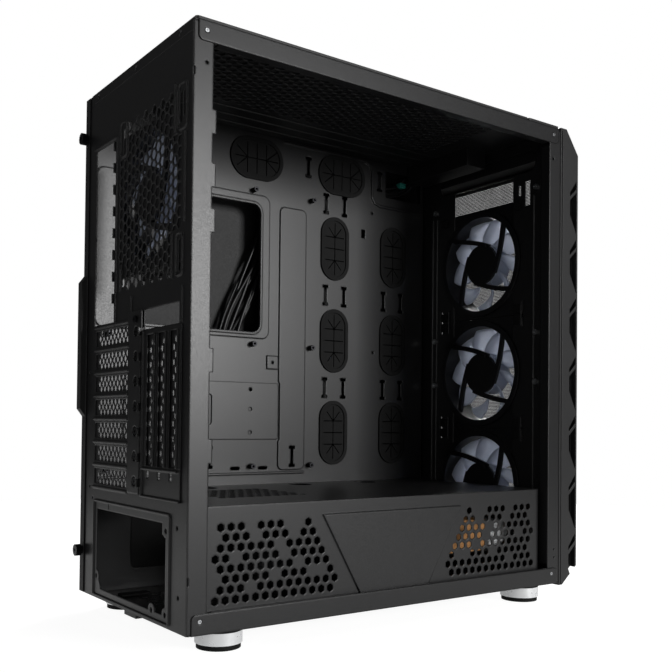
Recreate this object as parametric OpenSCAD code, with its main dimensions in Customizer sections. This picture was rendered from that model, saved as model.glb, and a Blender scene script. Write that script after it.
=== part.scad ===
// Mid-tower computer case, empty, with the window-side panel taken off.
//
// The chassis frame used inside the modules has its origin at the lower rear
// corner of the window side: +X runs from the window side to the closed side,
// the rear face is y = 0 and the front is at negative y, and z = 0 is the
// underside of the base. placed() moves that frame so that the finished part
// stands on its feet with its origin under the middle of its bounding box.

/* [Chassis] */
// Width over both sides
case_w = 213; // [205:1:260]
// Height of the steel chassis, without feet
chassis_h = 455.4; // [450:0.2:560]
// Depth of the steel chassis, without the front panel
chassis_d = 414; // [395:1:520]
// Thickness of the pressed sheet
sheet_t = 1.0; // [0.8:0.1:1.2]
// Width of the upright posts at the window side
post_w = 16.5; // [12:0.5:22]
// Height of the top rail at the window side
rail_h = 15.4; // [12:0.2:20]
// Running gap between separate outer pieces
gap = 0.3; // [0.2:0.05:0.5]

/* [Board and slots] */
// Distance from the closed side to the board tray
tray_inset = 21.8; // [18:0.2:30]
// Top row of board standoffs below the chassis top
board_drop = 61; // [55:0.5:80]
// Pitch of the expansion slots
slot_pitch = 20.32; // [20.32:0.01:20.33]
// Width of the input and output plate opening
io_w = 44.45; // [44.45:0.01:44.5]
// Height of the input and output plate opening
io_h = 158.75; // [158.75:0.01:158.8]

/* [Power supply and shroud] */
// Height of the shroud top above the base
shroud_h = 94; // [90:0.5:110]
// Width of the power supply bay
psu_w = 150; // [150:0.5:151]
// Height of the power supply bay
psu_h = 86; // [86:0.5:87]

/* [Fans] */
// Side of the square fan frames, and their pitch
fan_size = 120; // [120:1:121]
// Depth of the fan frames
fan_depth = 25; // [15:1:25]
// Diameter of the fan hubs
fan_hub_d = 44; // [34:1:46]
// Width of the light ring round the blades
fan_ring_w = 7; // [2:0.5:8]
// Number of blades on a fan
blade_count = 9; // [5:1:11]

/* [Front panel] */
// Depth of the plastic front panel
front_d = 27; // [27:1:45]
// Height of one zigzag of the side relief
relief_pitch = 59.9; // [50:0.1:70]

/* [Feet] */
// Height of the feet
foot_h = 15; // [12:0.5:25]
// Diameter of the bright foot rings
foot_d = 37; // [30:0.5:40]

/* [Vents] */
// Pitch of the hexagonal vent holes
vent_pitch = 9.0; // [8:0.1:12]
// Width across the flats of a vent hole
vent_flat = 7.4; // [5:0.1:7.6]

/* [Hidden] */

$fn = 48;
// keeps the cut of a screw's cross slot clear of its head's face
eps = 0.01;
// a full-size board has seven expansion slots, and each cover is a node
slot_count = 7;

// Side panel screws stand out of the rear by this much, which sets the depth.
thumb_out = 8;
rear_y = (chassis_d + front_d + thumb_out) / 2 - thumb_out;
front_y = -chassis_d;
tray_x = case_w - tray_inset;
panel_t = 0.8;
top_z = chassis_h;

// Board geometry, from the top row of standoffs and the tray.
hole_row_z = chassis_h - board_drop;
board_rows = [0, -157.48, -281.94];
board_cols = [-13.5, -168.5, -240.9];
standoff_h = 6.5;
io_top_z = hole_row_z + 6.7;
io_x = tray_x - 3.3;
slot_base_z = hole_row_z - 296.4;
slot_far_x = tray_x - 8.2;
slot_near_x = tray_x - 80.8;
slot_open_h = 13.2;
cover_h = 18.4;
lock_x = tray_x - 99.2;

// Upright slots beside the expansion slots.
upright_count = 3;
upright_x = tray_x - 125;
upright_low_z = slot_base_z + 24;
upright_high_z = slot_base_z + 128;

// Rear fan and its grille.
rear_fan_x = tray_x - 113;
rear_fan_z = hole_row_z - 56;
grille_low_z = rear_fan_z - 74;
grille_high_z = rear_fan_z + 74;

// Front fans, counted from the top.
front_fan_x = case_w / 2;
front_fan_top_z = chassis_h - 121.9;
fan_hole_pitch = fan_size - 15;
fan_bore_r = fan_size / 2 - 2.5;

// Power supply opening in the rear panel.
psu_x = tray_x - 160.2;
psu_z = 3.5;
psu_open_w = 138;
psu_open_h = psu_h - 16;

// Shroud wall beside the window.
shroud_x = 5;
shroud_mid_y = -(chassis_d - 11) / 2;
shroud_rear_y = -post_w + 7.5;
shroud_front_y = front_y + 20;
shroud_hole_d = 6.2;
shroud_hole_pitch = 8.95;
shroud_row_step = 7.87;
shroud_top_row_z = 77.6;

// Front panel.
panel_low_z = -2.4;
panel_high_z = chassis_h + 2.3;
front_face_y = front_y - front_d;
relief_top_z = chassis_h - 45.8;

// Lid strip and dust filter on the top.
lid_t = 3.6;
lid_margin = 2.7;
io_strip_d = 46;
strip_y = front_y + io_strip_d;

// ---------------------------------------------------------------- helpers

module placed() translate([-case_w / 2, rear_y, foot_h]) children();

// A flat outline drawn in (x, z), t thick behind the plane y.
module wall_y(y, t) translate([0, y, 0]) rotate([90, 0, 0]) linear_extrude(t) children();

// A flat outline drawn in (y, z), t thick towards +X from the plane x.
module wall_x(x, t) translate([x, 0, 0]) rotate([90, 0, 90]) linear_extrude(t) children();

// A flat outline drawn in (x, y), t thick upwards from the plane z.
module wall_z(z, t) translate([0, 0, z]) linear_extrude(t) children();

module rect(a, b) {
    translate([min(a[0], b[0]), min(a[1], b[1])])
        square([abs(b[0] - a[0]), abs(b[1] - a[1])]);
}

// A rectangle between two corners with round corners of radius r.
module round_rect(a, b, r) {
    low = [min(a[0], b[0]), min(a[1], b[1])];
    high = [max(a[0], b[0]), max(a[1], b[1])];
    rect([low[0] + r, low[1]], [high[0] - r, high[1]]);
    rect([low[0], low[1] + r], [high[0], high[1] - r]);
    for (x = [low[0] + r, high[0] - r], y = [low[1] + r, high[1] - r])
        translate([x, y]) circle(r, $fn = 24);
}

// A slot with round ends, long along the first axis when len > 0.
module stadium(c, len, w) {
    translate(c) {
        rect([-(len - w) / 2, -w / 2], [(len - w) / 2, w / 2]);
        for (s = [-1, 1]) translate([s * (len - w) / 2, 0]) circle(w / 2, $fn = 24);
    }
}

module stadium_up(c, len, w) translate(c) rotate(90) stadium([0, 0], len, w);

module hexagon(flat, turn = 0) rotate(turn) circle(flat / sqrt(3), $fn = 6);

// Hexagonal holes over a box, kept whole by a margin. up = true stacks the
// holes touching flat to flat along the second axis.
module hex_field(low, high, pitch, flat, up = true) {
    step = pitch * sqrt(3) / 2;
    a = up ? 0 : 1;
    span = [high[0] - low[0], high[1] - low[1]];
    cols = floor((span[a] - flat * 1.16) / step);
    rows = floor((span[1 - a] - flat) / pitch);
    start_a = low[a] + (span[a] - cols * step) / 2;
    start_b = low[1 - a] + (span[1 - a] - rows * pitch) / 2;
    for (i = [0:cols], j = [0:rows]) {
        off = i % 2 == 1 ? pitch / 2 : 0;
        p = start_a + i * step;
        q = start_b + j * pitch + off;
        if (q + flat / 2 < high[1 - a])
            translate(up ? [p, q] : [q, p]) hexagon(flat, up ? 0 : 30);
    }
}

// A screw head with a shank, along -Y from its seat at the origin.
module screw(head_d, head_h, shank_d, shank_l) {
    rotate([90, 0, 0]) {
        translate([0, 0, -head_h]) difference() {
            cylinder(d = head_d, h = head_h);
            for (a = [0, 90]) rotate(a)
                translate([-head_d * 0.3, -head_d * 0.06, -eps])
                    cube([head_d * 0.6, head_d * 0.12, head_h * 0.5]);
        }
        cylinder(d = shank_d, h = shank_l);
    }
}

// ---------------------------------------------------------------- rear wall

io_low_z = io_top_z - io_h;
lip_h = 8.7;
rear_top_z = chassis_h - lip_h;
rear_near_x = 2 * sheet_t;
rear_far_x = case_w - 2;
press_t = 1.4;
window_z = [slot_base_z + 133, slot_base_z + 149];
bracket_x = [upright_x - 2.5 * slot_pitch - 2.9, tray_x - 111];
window_x = [bracket_x[0] + 1.5, tray_x - 110];
bracket_z = [slot_base_z - 1.5, slot_base_z + 132];
thumb_x = case_w - 5.25;
thumb_zs = [38.5, chassis_h - 38.4];

// Screw holes of a standard power supply, from the bay's lower near corner.
psu_holes = [[6, 6], [6, 70], [30, 6], [144, 16]];
// Small holes of the rear wall: x, z, diameter.
rear_small_holes = [[18, 77.6, 3.4], [15.2, 26.2, 3.4], [tray_x + 2.3, slot_base_z - 0.3, 2.4],
    [tray_x - 4.8, slot_base_z - 10, 2.4], [tray_x + 6.1, slot_base_z + 102.8, 2.4]];

module slot_openings_2d() {
    for (k = [0:slot_count - 1]) {
        z = slot_base_z + (k + 0.5) * slot_pitch;
        rect([slot_near_x + 2.6, z - slot_open_h / 2], [slot_far_x, z + slot_open_h / 2]);
    }
}

module psu_opening_2d() {
    x0 = psu_x + 6;
    z0 = psu_z + 5.5;
    difference() {
        rect([x0, z0], [x0 + psu_open_w, z0 + psu_open_h]);
        for (h = psu_holes)
            translate([psu_x + h[0], psu_z + h[1]]) circle(5.5, $fn = 32);
        translate([x0 + psu_open_w, z0]) circle(9, $fn = 32);
        rect([x0 - 1, z0 + psu_open_h - 9], [x0 + 6, z0 + psu_open_h + 1]);
    }
}

// The vent field of the rear fan, less the solid corners for the long slots.
module grille_2d() {
    difference() {
        hex_field([rear_fan_x - 64.5, grille_low_z], [rear_fan_x + 60.5, grille_high_z],
            vent_pitch, vent_flat);
        rect([rear_fan_x - 66, rear_fan_z + 37], [rear_fan_x - 46, grille_high_z + 9]);
        rect([rear_fan_x - 66, grille_low_z - 9], [rear_fan_x - 43, rear_fan_z - 36]);
        rect([rear_fan_x + 39, rear_fan_z + 42], [rear_fan_x + 62, grille_high_z + 9]);
        rect([rear_fan_x + 50, grille_low_z - 9], [rear_fan_x + 62, rear_fan_z - 48]);
    }
}

module rear_openings_2d() {
    rect([io_x - io_w, io_low_z], [io_x, io_top_z]);
    slot_openings_2d();
    rect([window_x[0] + 5, window_z[0]], [window_x[1], window_z[1]]);
    rect([bracket_x[0] + 3, bracket_z[0] + 3], [bracket_x[1] - 3, bracket_z[1] - 1.5]);
    grille_2d();
    for (sz = [-1, 1]) {
        stadium_up([rear_fan_x - 58, rear_fan_z + sz * 56], 24, 4.4);
        stadium_up([rear_fan_x + 47, rear_fan_z + sz * 56], 24, 4.4);
    }
    stadium_up([rear_fan_x - 63, rear_fan_z + 58], 20, 2.4);
    psu_opening_2d();
    for (h = psu_holes)
        translate([psu_x + h[0], psu_z + h[1]]) circle(2, $fn = 20);
    for (h = rear_small_holes) translate([h[0], h[1]]) circle(h[2] / 2, $fn = 16);
    rect([psu_x + 117, psu_z + 77.2], [psu_x + 118.6, psu_z + 82]);
    for (z = thumb_zs) translate([thumb_x, z]) circle(2.3, $fn = 24);
    for (k = [0:slot_count - 1])
        translate([lock_x, slot_base_z + (k + 0.5) * slot_pitch]) circle(1.7, $fn = 20);
}

module press_frame_2d(a, b, w, r) {
    difference() {
        round_rect(a, b, r);
        round_rect([a[0] + w, a[1] + w], [b[0] - w, b[1] - w], max(r - w, 0.3));
    }
}

// Ribs pressed outwards from the rear wall.
module rear_ribs_2d() {
    press_frame_2d([psu_x - 2.2, psu_z - 1.5], [psu_x + psu_w + 1, psu_z + 83.5], 1.6, 3);
    rect([tray_x - 85, slot_base_z], [tray_x - 83.4, slot_base_z + 163]);
    for (k = [0:slot_count])
        rect([slot_near_x, slot_base_z + k * slot_pitch - 1.2],
            [slot_far_x + 2, slot_base_z + k * slot_pitch + 1.2]);
    rect([13.4, slot_base_z + 134], [15, slot_base_z + 161]);
    rect([rear_fan_x - 66.6, rear_fan_z - 32], [rear_fan_x - 65.2, rear_fan_z + 36]);
    rect([rear_fan_x - 50, rear_fan_z + 38], [rear_fan_x - 48.6, rear_fan_z + 76]);
    rect([rear_fan_x - 46, rear_fan_z - 72], [rear_fan_x - 44.6, rear_fan_z - 38]);
    press_frame_2d([rear_fan_x - 69, rear_fan_z + 38], [rear_fan_x - 53, rear_fan_z + 74], 1.4, 5);
    press_frame_2d([rear_fan_x - 64, rear_fan_z - 72], [rear_fan_x - 52, rear_fan_z - 39], 1.4, 4);
    press_frame_2d([rear_fan_x + 41, rear_fan_z + 43], [rear_fan_x + 56, rear_fan_z + 74], 1.4, 5);
    for (dx = [52, 60.5])
        rect([rear_fan_x + dx - 0.6, rear_fan_z - 71], [rear_fan_x + dx + 0.6, rear_fan_z - 51]);
    rect([io_x - io_w - 4, io_low_z - 4], [io_x - io_w - 2.6, io_top_z + 2]);
    rect([io_x - io_w - 4, io_top_z + 1], [io_x + 3, io_top_z + 2.4]);
}

// Fingers that press on an input and output plate, along its near edge.
finger_pitch = 18.9;
finger_h = 8.5;
finger_out = 2.6;

module rear_panel() {
    color([0.1, 0.1, 0.105]) placed() {
        difference() {
            union() {
                wall_y(0, sheet_t) rect([rear_near_x, 0], [rear_far_x, rear_top_z]);
                wall_y(press_t, press_t) rear_ribs_2d();
            }
            wall_y(press_t + 1, press_t + sheet_t + 2) rear_openings_2d();
        }
        for (k = [0:7])
            translate([io_x - io_w - 1, -sheet_t, io_top_z - 2 - finger_h - k * finger_pitch])
                cube([1, sheet_t + finger_out, finger_h]);
        // flange inside the side panel
        wall_x(rear_far_x - sheet_t, sheet_t) rect([-14, 6], [0, rear_top_z - 4]);
    }
}

// ---------------------------------------------------------------- window side

// The rails lie outside the posts, so a post's face is one sheet further in.
post_x = sheet_t;
post_return = 9;
hook_zs = [shroud_h + 32, shroud_h + 100, hole_row_z - 96, hole_row_z - 62, hole_row_z - 22];
rivet_zs = [10.2, chassis_h - 7.3];
rear_rivet_y = -10.4;
front_rivet_y = front_y + 11.5;
rivet_hole_r = 1.6;

// Upright at the rear of the window side: a face, a folded return and hooks.
module rear_post() {
    color([0.5, 0.49, 0.47]) placed() {
        difference() {
            wall_x(post_x, sheet_t) rect([-post_w, sheet_t], [0, top_z - gap - sheet_t]);
            translate([post_x - 1, 0, 0]) wall_x(0, sheet_t + 2) {
                translate([-11, chassis_h - 31]) circle(1.3, $fn = 16);
                for (z = [40, chassis_h - 39]) rect([-1.2, z - 3], [1, z + 3]);
                for (z = rivet_zs) translate([rear_rivet_y, z]) circle(rivet_hole_r, $fn = 20);
            }
        }
        wall_y(-post_w + sheet_t, sheet_t)
            rect([post_x, shroud_h + 4], [post_return, top_z - rail_h - 2]);
        for (z = hook_zs) translate([post_x, -post_w - 3, z]) {
            cube([1.2, 3, 18]);
            translate([0, 0, 14]) cube([4.5, 1, 4]);
        }
    }
}

// Upright at the front of the window side, with a deep return facing the rear.
module front_post() {
    color([0.2, 0.2, 0.2]) placed() {
        inner_y = front_y + post_w;
        difference() {
            wall_x(post_x, sheet_t) rect([front_y, sheet_t], [inner_y, top_z - gap - sheet_t]);
            translate([post_x - 1, 0, 0]) wall_x(0, sheet_t + 2) {
                translate([front_y + 11, chassis_h - 31]) circle(1.3, $fn = 16);
                for (z = [26, 34]) translate([front_y + 7, z]) circle(0.9, $fn = 16);
                for (z = rivet_zs) translate([front_rivet_y, z]) circle(rivet_hole_r, $fn = 20);
            }
        }
        wall_y(inner_y, sheet_t)
            rect([post_x, rail_h + 4], [12, top_z - rail_h - 2]);
    }
}

// A rail's face: round at its two free corners, square along the outer edge.
rail_end = 3.5;
rail_r = 4;
module rail_face(z_free, z_edge) {
    rear_end = -rail_end;
    front_end = front_y + rail_end;
    z_mid = (z_free + z_edge) / 2;
    difference() {
        wall_x(0, sheet_t) {
            round_rect([front_end, z_free], [rear_end, z_edge], rail_r);
            rect([front_end, z_mid], [rear_end, z_edge]);
        }
        wall_x(-1, sheet_t + 2)
            for (y = [rear_rivet_y, front_rivet_y])
                translate([y, z_edge > chassis_h / 2 ? rivet_zs[1] : rivet_zs[0]])
                    circle(rivet_hole_r, $fn = 20);
    }
}

module rail_lip(z, depth) {
    wall_z(z, sheet_t)
        rect([0, front_y + post_w + 1], [depth, -post_w - 4]);
}

module top_rail() {
    color([0.14, 0.14, 0.14]) placed() {
        rail_face(top_z - rail_h, top_z);
        rail_lip(top_z - rail_h, 9);
    }
}

module bottom_rail() {
    color([0.14, 0.14, 0.14]) placed() {
        rail_face(rail_h + 0.3, 0);
        rail_lip(rail_h + 0.3 - sheet_t, shroud_x - shroud_pad_t - gap);
    }
}

module frame_rivets() {
    color([0.75, 0.74, 0.72]) placed() {
        for (y = [rear_rivet_y, front_rivet_y], z = rivet_zs)
            translate([0, y, z]) rotate([0, 90, 0]) difference() {
                cylinder(r = rivet_hole_r - 0.05, h = 2 * sheet_t);
                translate([0, 0, -1]) cylinder(r = 0.7, h = 1.6, $fn = 24);
            }
    }
}

// ---------------------------------------------------------------- board tray

cpu_hole = [[-176.4, hole_row_z - 145.4], [-32, hole_row_z - 14.4]];
io_cable_hole = [[front_y + 16, chassis_h - 40.4], [front_y + 69, chassis_h - 10.4]];
grommet_tops = [[-172, hole_row_z + 33], [-281.5, hole_row_z + 33.4]];
grommet_side_ys = [-272.6, -355.4];
grommet_side_zs = [hole_row_z - 47.5, hole_row_z - 147.9, hole_row_z - 247.6];
grommet_top_size = [63, 43.5];
grommet_side_size = [69, 37];
grommet_lip = 3;
grommet_t = 1.8;
tie_ys = [-261, -286, -342.3, -368];
tie_zs = [hole_row_z + 0.6, hole_row_z - 98.9, hole_row_z - 199.2];
cage_hole = [[front_y + 22, 3], [front_y + 150, 84]];
plate_z = [slot_base_z + 41.4, slot_base_z + 99.7];

// A slot for a cable tie, wider at both ends like a capital I.
module tie_slot(c) {
    translate(c) {
        rect([-1.6, -9], [1.6, 9]);
        for (s = [-1, 1]) translate([0, s * 9.5]) rect([-3.6, -1.5], [3.6, 1.5]);
    }
}

module tray_openings_2d() {
    round_rect(cpu_hole[0], cpu_hole[1], 9);
    rect(io_cable_hole[0], io_cable_hole[1]);
    rect(cage_hole[0], cage_hole[1]);
    round_rect([-150, 20], [-40, 78], 6);
    for (c = grommet_tops)
        stadium(c, grommet_top_size[0] - 2 * grommet_lip, grommet_top_size[1] - 2 * grommet_lip);
    for (y = grommet_side_ys, z = grommet_side_zs)
        stadium_up([y, z], grommet_side_size[0] - 2 * grommet_lip,
            grommet_side_size[1] - 2 * grommet_lip);
    for (i = [0:3], j = [0:2])
        if (i < 2 || j > 0) tie_slot([tie_ys[i], tie_zs[j]]);
    tie_slot([-237, hole_row_z + 36]);
    tie_slot([-335.5, hole_row_z + 37]);
    for (y = [-121, -218.5]) tie_slot([y, slot_base_z + 23.8]);
    for (y = board_cols, z = board_rows)
        if (z != 0 || y != board_cols[0]) translate([y, hole_row_z + z]) circle(1.6, $fn = 20);
    for (p = [[-325, -0.6], [-327.7, -157.6], [-167.1, -204], [-193.2, -175.3]])
        translate([p[0], hole_row_z + p[1]]) circle(1.5, $fn = 16);
    rect([-315, hole_row_z - 30], [-310, hole_row_z - 21]);
    // retaining hook slots at the foot of the board area
    for (y = [-150.7, -183.4]) stadium([y, slot_base_z + 12.3], 11, 3);
}

// Pads pressed towards the window side.
tray_press = 1.6;
lip_w = 2.6;
ridge_w = 2.4;
ridge_path = [[-206, chassis_h - 4.6], [-313, chassis_h - 4.6], [-321, chassis_h - 8],
    [-324, chassis_h - 16], [-324, chassis_h - 44], [-328, chassis_h - 50],
    [-336, chassis_h - 52.5], [front_y + 15, chassis_h - 52.5]];
module tray_ridge_2d() {
    for (i = [0:len(ridge_path) - 2]) hull()
        for (p = [ridge_path[i], ridge_path[i + 1]]) translate(p) circle(d = ridge_w, $fn = 16);
}

module tray_pads_2d() {
    difference() {
        round_rect([-188, cpu_hole[0][1] - 6], [-1, cpu_hole[1][1] + 10], 8);
        round_rect(cpu_hole[0], cpu_hole[1], 9);
    }
    round_rect([-234, slot_base_z + 10], [-201, cpu_hole[1][1] + 2.5], 6);
    rect([-234, slot_base_z + 6], [-1, slot_base_z + 8]);
    tray_ridge_2d();
    for (z = [93.2, 123]) translate([-216.5, hole_row_z - z]) circle(6, $fn = 32);
    rect([-200, hole_row_z - 182], [-186.4, hole_row_z - 168.6]);
}

module motherboard_tray() {
    color([0.2, 0.2, 0.2]) placed() {
        difference() {
            union() {
                wall_x(tray_x, sheet_t)
                    rect([front_y + 12, sheet_t], [-sheet_t, top_z - sheet_t]);
                wall_x(tray_x - tray_press, tray_press) difference() {
                    tray_pads_2d();
                    round_rect([-202.5, plate_z[0] - 1.5], [-0.5, plate_z[1] + 1.5], 2);
                }
                // rolled lip round the cooler opening
                wall_x(tray_x - tray_press - 1.2, tray_press + 1.2) difference() {
                    round_rect(cpu_hole[0] - [lip_w, lip_w], cpu_hole[1] + [lip_w, lip_w],
                        9 + lip_w);
                    round_rect(cpu_hole[0], cpu_hole[1], 9);
                }
            }
            translate([tray_x - 5, 0, 0]) wall_x(0, 10) tray_openings_2d();
        }
        // flanges to the side panel, above and below
        for (z = [sheet_t, top_z - 2 * sheet_t])
            wall_z(z, sheet_t) rect([tray_x, front_y + 12], [rear_far_x - 6, -16]);
    }
}

// Removable plate for two slim drives, low on the tray.
module drive_plate() {
    color([0.22, 0.22, 0.22]) placed() {
        wall_x(tray_x - 1.2, 1.2) difference() {
            round_rect([-201, plate_z[0]], [-30, plate_z[1]], 2);
            for (y = [-167.1, -63], z = [7.1, 27.3, 51])
                translate([y, plate_z[1] - z]) circle(1.8, $fn = 20);
            for (y = [-120, -100]) stadium_up([y, plate_z[0] + 30], 30, 5);
        }
    }
}

module standoff() {
    rotate([0, -90, 0]) difference() {
        cylinder(r = 2.9, h = standoff_h, $fn = 6);
        translate([0, 0, 1]) cylinder(r = 1.25, h = standoff_h, $fn = 24);
    }
}

module board_standoffs() {
    color([0.5, 0.42, 0.25]) placed()
        for (y = board_cols, z = board_rows) {
            at_y = z == 0 && y == board_cols[0] ? -36 : y;
            translate([tray_x, at_y, hole_row_z + z]) standoff();
        }
}

// Rubber grommet: a lip round a slit web, long along the first axis.
module grommet_2d(len, w) {
    slit = 0.9;
    web_len = len - 2 * grommet_lip;
    web_w = w - 2 * grommet_lip;
    difference() {
        stadium([0, 0], web_len - 1, web_w - 1);
        rect([-web_len / 2 + 3, -slit / 2], [web_len / 2 - 3, slit / 2]);
        for (s = [-1, 0, 1])
            rect([s * web_len / 5 - slit / 2, -web_w / 2 + 3], [s * web_len / 5 + slit / 2, web_w / 2 - 3]);
        for (s = [-1, 1], a = [-40, 40])
            translate([s * web_len / 5, 0]) rotate(a)
                rect([0, -slit / 2], [s * (web_w / 2 - 2.5), slit / 2]);
    }
}

module grommet(len, w) {
    wall_x(-grommet_t, grommet_t) difference() {
        stadium([0, 0], len, w);
        stadium([0, 0], len - 2 * grommet_lip - 2, w - 2 * grommet_lip - 2);
    }
    wall_x(-0.6, sheet_t + 0.6) grommet_2d(len, w);
}

module grommet_top(i) {
    c = grommet_tops[i - 1];
    color([0.05, 0.05, 0.05]) placed() translate([tray_x, c[0], c[1]])
        grommet(grommet_top_size[0], grommet_top_size[1]);
}

// Side grommets are numbered down the rear column and then the front one.
module grommet_side(i) {
    y = grommet_side_ys[floor((i - 1) / 3)];
    z = grommet_side_zs[(i - 1) % 3];
    color([0.05, 0.05, 0.05]) placed() translate([tray_x, y, z]) rotate([90, 0, 0])
        grommet(grommet_side_size[0], grommet_side_size[1]);
}

// ---------------------------------------------------------------- slots

cover_t = 0.8;
cover_y = -sheet_t;

// A perforated cover behind one expansion slot.
module slot_cover(i) {
    z = slot_base_z + (slot_count - i + 0.5) * slot_pitch;
    near = lock_x - 7;
    far = slot_far_x + 3.5;
    cols = 8;
    step = (slot_far_x - slot_near_x - 9) / cols;
    color([0.12, 0.12, 0.125]) placed() wall_y(cover_y, cover_t) difference() {
        rect([near, z - cover_h / 2], [far, z + cover_h / 2]);
        for (c = [0:cols - 1], r = [-1:1]) {
            x = slot_near_x + 6.5 + (c + (r == 0 ? 0.5 : 0)) * step;
            if (x < slot_far_x - 2) translate([x, z + r * 4.4]) hexagon(4.9, 0);
        }
        for (c = [0:cols - 1], r = [-0.5, 0.5]) {
            x = slot_near_x + 6.5 + (c + (r > 0 ? 0.75 : 0.25)) * step;
            if (x < slot_near_x) translate([x, z + r * 4.4]) circle(0.8, $fn = 16);
        }
        translate([lock_x, z]) circle(1.7, $fn = 20);
    }
}

// A perforated cover in the bracket beside the slots, standing upright.
module upright_slot_cover(i) {
    x = upright_x - (i - 1) * slot_pitch;
    low = upright_low_z - 4;
    rows = floor((upright_high_z - upright_low_z - 8) / 5.85);
    color([0.12, 0.12, 0.125]) placed() wall_y(-sheet_t / 2 - 0.1, cover_t) difference() {
        rect([x - 9.6, low], [x + 9.6, upright_high_z + 2]);
        for (r = [0:rows]) {
            z = upright_low_z + 4 + r * 5.85;
            if (r % 2 == 0) translate([x, z]) stadium_up([0, 0], 5.2, 3.9);
            else for (s = [-1, 1]) translate([x + s * 3.4, z]) stadium_up([0, 0], 5, 3.4);
        }
    }
}

// Removable bracket that holds the upright covers.
module upright_slot_bracket() {
    color([0.13, 0.13, 0.135]) placed() {
        wall_y(sheet_t + 0.1, sheet_t) difference() {
            rect([bracket_x[0], bracket_z[0]], [bracket_x[1], bracket_z[1]]);
            for (i = [0:upright_count - 1]) {
                x = upright_x - i * slot_pitch;
                rect([x - 6.6, upright_low_z], [x + 6.6, upright_high_z]);
                rect([x + 0.5, upright_low_z - 10], [x + 5.5, upright_low_z - 4.5]);
            }
        }
        // raised ridges between and around the openings
        for (i = [0:upright_count - 1]) {
            x = upright_x - i * slot_pitch - slot_pitch / 2;
            translate([x - 0.9, sheet_t, upright_low_z]) cube([1.8, 2.6, upright_high_z - upright_low_z]);
        }
        translate([bracket_x[0] + 3, sheet_t, upright_low_z - 3.4])
            cube([bracket_x[1] - bracket_x[0] - 6, 2.2, 1.6]);
        translate([bracket_x[0], sheet_t, bracket_z[0]]) cube([bracket_x[1] - bracket_x[0], 1.6, 1.6]);
        translate([bracket_x[1] - 1.6, sheet_t, bracket_z[0]]) cube([1.6, 1.6, bracket_z[1] - bracket_z[0]]);
    }
}

// Cover strip over the slot screws, open at each screw, with a fixing tab.
strip_x = [lock_x - 9, lock_x + 13];
slot_screw_clearance = 1.2;
module slot_screw_clearance_2d() {
    for (k = [0:slot_count - 1])
        translate([lock_x, slot_base_z + (k + 0.5) * slot_pitch])
            circle(screw_head_d / 2 + slot_screw_clearance, $fn = 28);
}

module slot_lock_strip() {
    y = press_t + 0.2;
    color([0.12, 0.12, 0.12]) placed() {
        wall_y(y + sheet_t, sheet_t + 1.4) difference() {
            rect([strip_x[0], slot_base_z], [strip_x[1] - 0.4, window_z[0] - 1]);
            slot_screw_clearance_2d();
        }
        // spring tongues along the near edge
        for (k = [0:slot_count - 1])
            translate([strip_x[0] - 1.4, 0, slot_base_z + (k + 0.5) * slot_pitch - 4.2])
                cube([1.5, y + 3.4, 6.8]);
        wall_y(y + sheet_t, sheet_t) difference() {
            rect([strip_x[0] - 2, window_z[0] - 1], [strip_x[1] + 2.6, window_z[1]]);
            translate([lock_x - 1, window_z[0] + 9]) circle(2.1, $fn = 24);
            slot_screw_clearance_2d();
        }
    }
}

// Pan-head screws: slots, front sheet, shroud and tray.
screw_head_d = 6;
screw_head_h = 2;
screw_shank_d = 3.1;
front_screw_xs = [28, case_w - 36];
front_screw_zs = [chassis_h - 52.4, chassis_h - 202.4, chassis_h - 253.4];

module case_screws() {
    color([0.55, 0.55, 0.55]) placed() {
        for (k = [0:slot_count - 1])
            translate([lock_x, gap, slot_base_z + (k + 0.5) * slot_pitch])
                screw(screw_head_d, screw_head_h, screw_shank_d, 7);
        for (x = front_screw_xs, z = front_screw_zs)
            translate([x, sheet_front_y + gap / 3, z])
                screw(screw_head_d, screw_head_h, screw_shank_d - 0.4, 4.4);
        translate([lock_x - 1, press_t + 0.2 + sheet_t, window_z[0] + 9])
            screw(screw_head_d, screw_head_h, 3.4, 2.2);
    }
}

// ---------------------------------------------------------------- base, top, front sheet

pan_low_y = front_y + 1;

module base_pan() {
    color([0.12, 0.12, 0.12]) placed() {
        wall_z(0, sheet_t) difference() {
            rect([sheet_t, pan_low_y], [rear_far_x, -sheet_t]);
            hex_field([psu_x + 14, -148], [psu_x + psu_w - 16, -24], vent_pitch, vent_flat);
            for (p = foot_places) translate(p) circle(2.2, $fn = 24);
            for (x = [60, 120], y = [front_y + 40, front_y + 150])
                stadium([x, y], 16, 4);
        }
        // upturned edge inside the side panel
        wall_x(rear_far_x - sheet_t, sheet_t) rect([pan_low_y, 0], [-16, 12]);
    }
}

top_vent = [[34, front_y + 59], [136, -34]];

module top_panel() {
    color([0.17, 0.17, 0.17]) placed() {
        difference() {
            union() {
                wall_z(top_z - sheet_t, sheet_t)
                    rect([sheet_t, pan_low_y], [rear_far_x, 0]);
                // pressed ribs on the underside
                wall_z(top_z - sheet_t - 0.9, 0.9) {
                    for (x = [26.5, 29.5]) rect([x, front_y + 40], [x + 1, -20]);
                    for (x = [142, 160, 178]) rect([x, front_y + 40], [x + 1.4, -24]);
                }
            }
            wall_z(top_z - 3, 5) {
                hex_field(top_vent[0], top_vent[1], vent_pitch, vent_flat, false);
                rect([io_box_x[0] + 2, io_box_y[0] + 2], [io_box_x[1] - 2, io_box_y[1] - 2]);
            }
        }
        // lip folded down over the rear wall
        wall_y(0, sheet_t) rect([rear_near_x, rear_top_z + 0.1], [rear_far_x, top_z - sheet_t]);
        for (x = [25, case_w / 2, case_w - 26])
            translate([x, 0, rear_top_z + lip_h - 3.6]) rotate([-90, 0, 0])
                cylinder(r1 = 2.4, r2 = 1.8, h = 0.8, $fn = 28);
        wall_x(rear_far_x - sheet_t, sheet_t) rect([pan_low_y, top_z - 12], [-16, top_z]);
    }
}

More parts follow.
